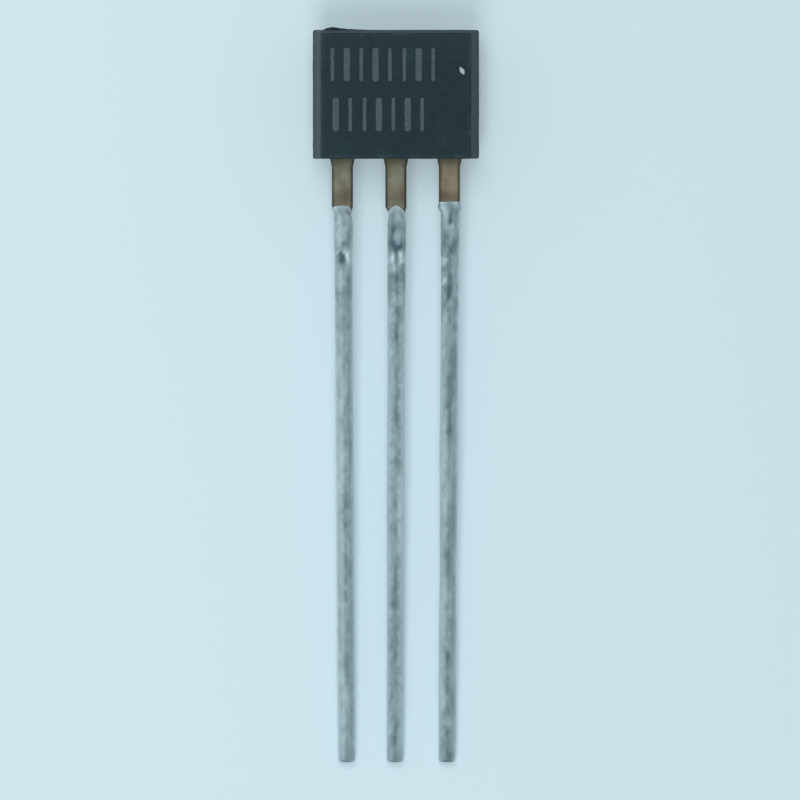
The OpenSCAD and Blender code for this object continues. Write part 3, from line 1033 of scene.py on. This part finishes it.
@dataclass(frozen=True)
class SolderCoat:
    """The solder on one lead, from below its neck to round its tip.

    Attributes:
        start: how far below the body it starts.
        lean: lean of the lead to the right, in degrees.
        crown: place across the lead of the ridge along its front.
        blobs: thicker and thinner lengths, each as distance, height and length.
        seed: picks its random fields.
        slant: drop of its upper edge towards the right side.
        arch: drop of its upper edge from the middle to both sides.
        neck: how far below the body the neck ends, and its half width.
        shaft: how far below the body the shaft starts, and its half width.
        shift: how far the shaft stands to the right of the neck.
        top: its thickness under the upper edge, as edge and tip are at its two ends.
        feather: length over which the upper edge thins out.
        dip: how deep the upper edge sinks into the metal.
        crown_gain: thickness of its front and back over that of its sides.
        ridge: height and half width of the ridge along its front.
        powers: how square its outline is, on the shaft and at the upper edge.
        settle: length over which it changes from the one to the other.
        lumps: random lumps, each as height, sizes and step of the seed.
        mottles: random tarnish, each as strength, how much more of it there is at the top,
            sizes and step of the seed.
        shade_gain: strength of its marks.
        stripe_gain: strength of a painted stripe over that of a single mark.
    """

    lay: Lay
    side: Side
    start: float
    lean: float
    crown: float
    blobs: tuple[Triple, ...]
    spots: tuple[Spot, ...]
    runs: tuple[PaintedStripe, ...]
    seed: int
    slant: float = 0.0
    arch: float = 0.0
    lead_length: float = 14.36
    neck: tuple[float, float] = (1.15, 0.25)
    shaft: tuple[float, float] = (1.3, 0.185)
    shift: float = 0.02
    sheet_half: float = 0.19
    top: float = 0.03
    tip: float = 0.015
    edge: float = 0.02
    feather: float = 0.27
    dip: float = 0.002
    crown_gain: float = 1.3
    ridge: tuple[float, float] = (0.012, 0.12)
    tip_radius: float = 0.07
    powers: tuple[float, float] = (3.0, 9.0)
    settle: float = 0.15
    lumps: tuple[tuple[float, Triple, int], ...] = (
        (0.0025, (0.11, 0.35, 0.11), 1),
        (0.0012, (0.05, 0.09, 0.05), 2),
    )
    mottles: tuple[tuple[float, float, Triple, int], ...] = (
        (0.13, 0.0, (0.15, 0.8, 0.2), 3),
        (0.14, 0.15, (0.12, 0.2, 0.15), 4),
        (0.04, 0.06, (0.06, 0.08, 0.1), 7),
    )
    shade_gain: float = 0.8
    stripe_gain: float = 0.6
    rings: int = 880
    columns: int = 56

    def middle_x(self, down: np.ndarray) -> np.ndarray:
        """Gives the lead's middle: its pitch, the shift at its shoulder and its lean.

        Args:
            down: distances below the body.

        Returns:
            Its x at each of them.
        """
        below = np.maximum(0, down - self.neck[0])
        over = self.shift * np.minimum(1, below / (self.shaft[0] - self.neck[0]))
        return self.side.value * PITCH + over + below * math.tan(math.radians(self.lean))

    def upper_edge(self, place: np.ndarray) -> np.ndarray:
        """Gives how far below the body the coat starts, with a slightly ragged edge.

        Args:
            place: from -1 on the lead's left side to 1 on its right side.

        Returns:
            The distance at each place.
        """
        start = self.start + self.slant * np.maximum(0, place) ** 2 + self.arch * np.abs(place)
        rim = np.stack([place * 0.2, 0 * place, np.full(place.shape, float(self.seed))], axis=-1)
        return start + 0.02 * random_field(rim, (0.07, 1, 1), self.seed)

    def thickness(self, down: np.ndarray, start: np.ndarray) -> np.ndarray:
        """Gives the coat's thickness: its edge, a line from top to tip, and its blobs.

        Args:
            down: distances below the body.
            start: how far below the body the coat starts.

        Returns:
            The thickness at each of them.
        """
        full = self.top + (self.tip - self.top) * (down - start) / (self.lead_length - start)
        ramp = np.minimum(1, (down - start) / self.settle)
        lumps = sum(high * bell(down, place, size) for place, high, size in self.blobs)
        return self.edge + (full - self.edge + lumps) * ramp

    def marks(self, where: np.ndarray, front: np.ndarray) -> tuple[np.ndarray, np.ndarray]:
        """Adds up what the spots and the painted stripes do at each point.

        The places are bent by random fields first, so that no mark has an even outline.

        Args:
            where: distance from the middle of the lead, distance below the body, and depth.
            front: 1 on the front of the lead and 0 on its back.

        Returns:
            How much darker and how much thicker the coat is there.
        """
        down = where[..., 1] + 0.07 * random_field(where, (0.09, 0.12, 0.2), self.seed + 5)
        across = where[..., 0] + 0.035 * random_field(where, (0.08, 0.1, 0.2), self.seed + 6)
        shade, height = np.zeros(down.shape), np.zeros(down.shape)
        for spot in self.spots:
            near = bell(down, spot.down, spot.length) * bell(across, spot.across, spot.width)
            near = near * front
            shade += spot.shade * near
            height += spot.height * near
        # painted reflections: long bright and dark stripes along the lead
        for run in self.runs:
            path = np.interp(down, run.downs, run.acrosses)
            ends = smooth_step(down, run.downs[0], run.downs[0] + 0.25)
            ends = ends * (1 - smooth_step(down, run.downs[-1] - 0.4, run.downs[-1]))
            shade += self.stripe_gain * run.shade * bell(across, path, run.width) * ends * front
        return shade, height

    def tarnish_and_painted_reflection(self, where: np.ndarray, start: np.ndarray, shade: np.ndarray) -> np.ndarray:
        """Adds up how dark each point is.

        The sides are brighter than the front as a painted reflection of the bright surroundings,
        the lower ones more so, the upper edge is a little brighter and the tip a little darker.

        Args:
            where: distance from the middle of the lead, distance below the body, and depth.
            start: how far below the body the coat starts.
            shade: how much darker its marks make it.

        Returns:
            Values from 0 for bright solder to 1.5 for the darkest dross.
        """
        down = where[..., 1]
        aside = np.clip(np.abs(where[..., 0]) / (self.shaft[1] + self.top), 0, 1)
        # painted reflection: the sides are made brighter, as if they mirror bright surroundings
        side_reflection_gain = 0.58 + 0.32 * smooth_step(down, 2.5, 5.0)
        dark = 0.9 - side_reflection_gain * aside**2 + self.shade_gain * shade
        dark -= 0.05 * np.exp(-(down - start) / self.settle)
        upper = 1 - smooth_step(down, 2.8, 4.5)
        for strength, more, sizes, step in self.mottles:
            dark += (strength + more * upper) * random_field(where, sizes, self.seed + step)
        dark += 0.08 * smooth_step(down, self.lead_length - 0.45, self.lead_length)
        return np.clip(dark, 0, 1.5)

    def build(self, solder: bpy.types.Material) -> bpy.types.Object:
        """Makes the coat's skin and stands it for the CAD coat.

        A ring is a rounded square: half size times cos^(2/p) and sin^(2/p) of the turn, with
        p falling from nearly square on the neck to round below it. The half sizes are the
        metal's and the thickness of the coat there.

        Args:
            solder: the finish of all three coats.

        Returns:
            The piece.
        """
        turn = np.linspace(0, 2 * math.pi, self.columns, endpoint=False)[None, :]
        cos, sin = np.cos(turn), np.sin(turn)
        start = self.upper_edge(np.sign(cos) * np.sqrt(np.abs(cos)))
        run_end = self.lead_length - self.tip_radius
        straight = start + (run_end - start) * np.linspace(0, 1, self.rings)[:, None]
        tip_share = np.sin(np.linspace(0, math.pi / 2, 9)[1:])[:, None]
        down = np.concatenate([straight, run_end + self.tip_radius * tip_share + 0 * start])
        thick = self.thickness(np.minimum(down, run_end), start)
        low, high = self.powers
        power = low + (high - low) * np.exp(-(down - start) / self.settle)
        round_x = np.sign(cos) * np.abs(cos) ** (2 / power)
        round_z = np.sign(sin) * np.abs(sin) ** (2 / power)
        metal = np.interp(down, [self.neck[0], self.shaft[0]], [self.neck[1], self.shaft[1]])
        across = (metal + thick) * round_x
        front = smooth_step(round_z, -0.1, 0.35)
        where = np.stack([across, down, round_z * 0.2], axis=-1)
        shade, lift = self.marks(where, front)

        for lump, sizes, step in self.lumps:
            lift = lift + lump * random_field(where, sizes, self.seed + step)
        feather = smooth_step(down, start, start + self.feather)
        thick = (thick + lift) * feather - self.dip * (1 - feather)
        tip_share = np.clip(1 - ((down - run_end) / self.tip_radius) ** 2, 0, 1)
        thick = thick - np.where(down > run_end, self.tip_radius * (1 - np.sqrt(tip_share)), 0)
        x = self.middle_x(down) + (metal + thick) * round_x
        z = SHEET_MID + (self.sheet_half + self.crown_gain * thick) * round_z
        ridge = self.ridge[0] * bell(across, self.crown, self.ridge[1]) * front
        z = z + ridge * feather * (down < run_end)
        grid = np.stack([x, -down, z], axis=-1)
        piece = closed_object(
            f"solder_skin_{self.side.name.lower()}",
            [self.lay.place(grid)],
            {"tarnish_and_painted_reflection": [self.tarnish_and_painted_reflection(where, start, shade)]},
        )
        piece.data.materials.append(solder)
        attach(piece, BODY)
        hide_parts(f"solder_coat_{self.side.name.lower()}")
        return piece


@dataclass(frozen=True)
class LeftCoat(SolderCoat):
    """The left coat: a slanted upper edge, a dark pit and a bead beside it.

    The bead's brightness is a painted highlight.
    """

    side: Side = Side.LEFT
    start: float = 1.07
    slant: float = 0.2
    lean: float = 0.35
    crown: float = 0.1
    seed: int = 100
    blobs: tuple[Triple, ...] = (
        (1.65, 0.013, 0.3), (2.36, -0.008, 0.15), (3.2, -0.004, 0.5),
        (4.3, -0.004, 0.8), (8.6, 0.004, 2.0), (12.5, 0.006, 1.5),
    )
    spots: tuple[Spot, ...] = (
        Spot(1.75, -0.11, 0.5, 0.06, -0.2),
        Spot(1.5, 0.02, 0.3, 0.1, 0.12),
        Spot(1.5, 0.14, 0.22, 0.06, 0.1),
        Spot(1.95, 0.13, 0.25, 0.06, 0.08),
        Spot(2.36, -0.05, 0.16, 0.075, 0.75, -0.008),
        Spot(2.36, 0.13, 0.15, 0.055, -1.2, 0.006),
        Spot(2.2, -0.14, 0.07, 0.05, -0.7, 0.004),
        Spot(2.72, -0.12, 0.2, 0.06, -0.2),
        Spot(2.95, 0.0, 0.6, 0.12, 0.2),
        Spot(2.9, 0.1, 0.35, 0.07, 0.12),
        Spot(3.5, -0.02, 0.1, 0.04, 0.25),
    )
    runs: tuple[PaintedStripe, ...] = (
        PaintedStripe((3.4, 6.0, 9.0, 14.3), (-0.12, -0.1, -0.11, -0.12), 0.09, -0.32),
        PaintedStripe((2.6, 5.0, 8.0, 11.0, 14.3), (0.1, 0.1, 0.08, 0.06, 0.08), 0.08, 0.25),
        PaintedStripe((1.2, 4.0, 9.0, 14.3), (0.2, 0.2, 0.19, 0.18), 0.045, -0.4),
    )


@dataclass(frozen=True)
class MiddleCoat(SolderCoat):
    """The middle coat: an arched upper edge, a dark pit and two beads under it.

    The beads' brightness is a painted highlight.
    """

    side: Side = Side.MIDDLE
    start: float = 1.05
    arch: float = 0.25
    lean: float = -0.17
    crown: float = -0.03
    seed: int = 200
    blobs: tuple[Triple, ...] = (
        (1.9, 0.003, 0.3), (2.36, -0.006, 0.12), (2.75, 0.003, 0.2),
        (5.0, -0.007, 1.4), (8.1, 0.005, 0.9), (12.0, -0.005, 1.5),
    )
    spots: tuple[Spot, ...] = (
        Spot(1.28, -0.18, 0.1, 0.05, -0.25),
        Spot(1.55, 0.0, 0.35, 0.12, 0.22),
        Spot(1.66, -0.09, 0.12, 0.06, 0.5),
        Spot(1.72, 0.14, 0.2, 0.06, 0.25),
        Spot(2.08, 0.01, 0.14, 0.15, 0.8, -0.006),
        Spot(9.6, 0.13, 2.4, 0.1, -0.2),
        Spot(2.37, 0.13, 0.15, 0.06, -1.2, 0.007),
        Spot(2.39, -0.14, 0.13, 0.055, -1.15, 0.006),
        Spot(2.4, 0.01, 0.15, 0.025, 0.25),
        Spot(2.68, -0.12, 0.15, 0.04, 0.25),
        Spot(2.7, 0.14, 0.15, 0.04, 0.2),
        Spot(2.85, -0.03, 0.25, 0.12, 0.2),
        Spot(3.02, 0.02, 0.2, 0.09, 0.3),
        Spot(3.3, 0.15, 0.15, 0.04, -0.3),
    )
    runs: tuple[PaintedStripe, ...] = (
        PaintedStripe((3.4, 6.0, 9.0, 14.0), (0.16, 0.15, 0.16, 0.15), 0.07, -0.62),
        PaintedStripe((3.4, 7.0, 10.0, 14.0), (-0.17, -0.16, -0.17, -0.17), 0.055, -0.65),
        PaintedStripe((3.3, 5.0, 8.0, 11.0, 14.3), (0.03, 0.02, 0.0, -0.02, -0.03), 0.08, 0.36),
    )


@dataclass(frozen=True)
class RightCoat(SolderCoat):
    """The right coat: a level upper edge, a broad dark patch and nicks on its left.

    The nicks' brightness is a painted highlight.
    """

    side: Side = Side.RIGHT
    start: float = 0.96
    lean: float = -0.32
    crown: float = 0.05
    seed: int = 300
    blobs: tuple[Triple, ...] = (
        (1.7, 0.014, 0.6), (2.45, -0.008, 0.12), (3.1, -0.006, 0.25),
        (6.9, 0.013, 0.9), (9.9, -0.008, 0.7), (12.3, 0.008, 1.2),
    )
    spots: tuple[Spot, ...] = (
        Spot(1.47, 0.03, 0.05, 0.043, 0.55),
        Spot(1.3, -0.15, 0.2, 0.06, -0.1),
        Spot(1.75, 0.15, 0.4, 0.06, 0.2),
        Spot(2.14, 0.0, 0.2, 0.15, 0.22),
        Spot(2.44, -0.17, 0.12, 0.06, -1.1, 0.004),
        Spot(2.88, -0.16, 0.1, 0.055, -0.9, 0.004),
        Spot(3.25, -0.08, 0.2, 0.07, 0.35, -0.004),
        Spot(3.2, 0.14, 0.12, 0.04, -0.25),
        Spot(3.65, -0.1, 0.15, 0.05, -0.25),
        Spot(2.95, 0.02, 0.3, 0.1, 0.15),
        Spot(14.1, -0.02, 0.6, 0.15, 0.25),
    )
    runs: tuple[PaintedStripe, ...] = (
        PaintedStripe((3.8, 6.0, 9.0, 14.2), (-0.17, -0.16, -0.16, -0.17), 0.07, -0.5),
        PaintedStripe((3.6, 5.5, 8.0, 11.0, 14.3), (0.03, 0.03, 0.02, 0.03, 0.02), 0.08, 0.34),
        PaintedStripe((2.6, 8.0, 14.0), (0.17, 0.17, 0.16), 0.05, 0.2),
    )


# ---- CAD pieces


@dataclass(frozen=True)
class LeadFrame:
    """The stamped leads, with the chip and its wires, which keep their CAD meshes.

    Attributes:
        band: how far below the body the flux dried.
    """

    lay: Lay
    nodes: dict[str, bpy.types.Object]
    band: float = 0.98

    def dress(self) -> list[str]:
        """Gives each piece its finish.

        Returns:
            The names of the pieces.
        """
        step = PITCH * METRE
        places = self.lay.along(self.band, SHEET_MID), self.lay.along(0.0, SHEET_MID)
        brown, gold = {"clean": "#716c5b", "brown": "#675c4a"}, ("#d9ab48", "#e6bf63")
        finishes = {
            "lead_left": OxidisedCopper("oxidised_copper_left", -step, *places, (0.1, -0.14, 0.32)),
            "lead_middle": OxidisedCopper(
                "oxidised_copper_middle", 0.0, *places, (0.2, -0.1, 0.26), edge_shade_cover=0.95
            ),
            "lead_right": OxidisedCopper(
                "oxidised_copper_right", step, *places, (-0.14, -0.1, 0.22), **brown
            ),
            "chip": TwoTone("polished_silicon", ("#4b4f5c", "#5b6070"), 0.05, 0.0, 0.2),
            "chip_attach": TwoTone("silver_paste", ("#a8a8a2", "#c4c4bd"), 0.02, 0.7, 0.55),
            "bond_wire_left": TwoTone("drawn_gold_left", gold, 0.02, 1.0, 0.25),
            "bond_wire_right": TwoTone("drawn_gold_right", gold, 0.02, 1.0, 0.25),
        }
        for name, finish in finishes.items():
            mesh = self.nodes[name].data
            mesh.materials.clear()
            mesh.materials.append(finish.build())
        return list(finishes)


# ---- studio


@dataclass(frozen=True)
class SoftLamp:
    """A rectangular soft lamp turned to the part, with its place and size in metres."""

    place: tuple[float, float, float]
    size: tuple[float, float]
    watts: float

    def hang(self) -> None:
        """Hangs the lamp."""
        data = bpy.data.lights.new("soft_lamp", "AREA")
        data.shape = "RECTANGLE"
        data.size, data.size_y = self.size
        data.energy = self.watts
        lamp = bpy.data.objects.new("soft_lamp", data)
        lamp.location = self.place
        lamp.rotation_euler = Vector(self.place).to_track_quat("Z", "Y").to_euler()
        bpy.context.scene.collection.objects.link(lamp)


@dataclass(frozen=True)
class Studio:
    """A pale board, an even sky, soft lamps and the camera above.

    The lamps hang in line with the leads, so the leads' shadows fall under the leads. All
    lengths but the sensor's are in metres.

    Attributes:
        board_level: height of the board, just under the part.
        zenith: light of the sky overhead.
        horizon: its light at the horizon.
        left_gain: how much brighter it is on the left.
        view_width: width of the view at the height view_level.
    """

    board_half: float = 0.4
    board_level: float = -2e-6
    zenith: float = 0.28
    horizon: float = 0.5
    left_gain: float = 0.06
    lamps: tuple[SoftLamp, ...] = (
        SoftLamp((-0.022, 0.09, 0.325), (0.13, 0.17), 0.385),
        SoftLamp((-0.022, -0.15, 0.3), (0.13, 0.19), 0.415),
    )
    camera_height: float = 0.3
    view_width: float = 0.018971
    view_level: float = 0.0011
    view_middle: tuple[float, float] = (0.000097, -0.000125)
    sensor: float = 36.0

    def board(self) -> None:
        """Lays the board under the part."""
        side = np.linspace(-self.board_half, self.board_half, 9)
        x, y = np.meshgrid(side, side)
        points = at_height(np.stack([x, y], axis=2), self.board_level).reshape(-1, 3)
        index = np.arange(x.size).reshape(x.shape)
        corners = [index[:-1, :-1], index[:-1, 1:], index[1:, 1:], index[1:, :-1]]
        faces = np.stack([c.ravel() for c in corners], axis=1)
        mesh = bpy.data.meshes.new("board")
        mesh.from_pydata(points.tolist(), [], faces.tolist())
        mesh.update()
        board = bpy.data.objects.new("board", mesh)
        bpy.context.scene.collection.objects.link(board)
        mesh.materials.append(PaintedBoard().build())

    def sky(self) -> None:
        """Lights the part evenly: darker overhead, bright at the horizon and on the left."""
        world = bpy.data.worlds.new("sky")
        bpy.context.scene.world = world
        world.use_nodes = True
        world.node_tree.nodes.clear()
        add = partial(add_node, world.node_tree)
        way = add("SeparateXYZ", {0: add("TexCoord").outputs["Generated"]}).outputs
        span = {"Value": way["Z"], "To Min": self.horizon, "To Max": self.zenith}
        terms = {0: way["X"], 1: -self.left_gain, 2: add("MapRange", span).outputs[0]}
        total = add("Math", terms, operation="MULTIPLY_ADD").outputs[0]
        light = add("Background", {"Color": (1, 1, 1, 1), "Strength": total}).outputs[0]
        add("OutputWorld", {"Surface": light})

    def camera(self) -> None:
        """Sets the camera straight above, so far off that it sees almost in parallel."""
        data = bpy.data.cameras.new("camera")
        data.sensor_width = self.sensor
        data.lens = self.sensor * (self.camera_height - self.view_level) / self.view_width
        data.clip_start = 0.01
        data.clip_end = 10
        camera = bpy.data.objects.new("camera", data)
        camera.location = (*self.view_middle, self.camera_height)
        bpy.context.scene.collection.objects.link(camera)
        bpy.context.scene.camera = camera

    def build(self) -> None:
        """Sets up the whole studio."""
        self.board()
        self.sky()
        for lamp in self.lamps:
            lamp.hang()
        self.camera()
        bpy.context.scene.view_settings.view_transform = "Standard"


def main() -> None:
    """Builds every piece in order and reports each."""
    logging.basicConfig(level=logging.INFO, format="%(message)s")
    lay = Lay.from_record(frame["record"])
    LOG.info("the part leans %.2f degrees", math.degrees(lay.angle))
    Studio().build()
    LOG.info("studio: board, sky, lamps and camera")
    for name in LeadFrame(lay, frame["nodes"]).dress():
        LOG.info("%s: CAD mesh with its own finish", name)
    body = MouldedBody(lay)
    pieces = [body.build(), PlainMark(body).build(), DustCrumb(body).build()]
    solder = DippedSolder().build()
    pieces += [coat(lay).build(solder) for coat in (LeftCoat, MiddleCoat, RightCoat)]
    for piece in pieces:
        LOG.info("%s: %d faces", piece.name, len(piece.data.polygons))


if __name__ == "__main__":
    main()
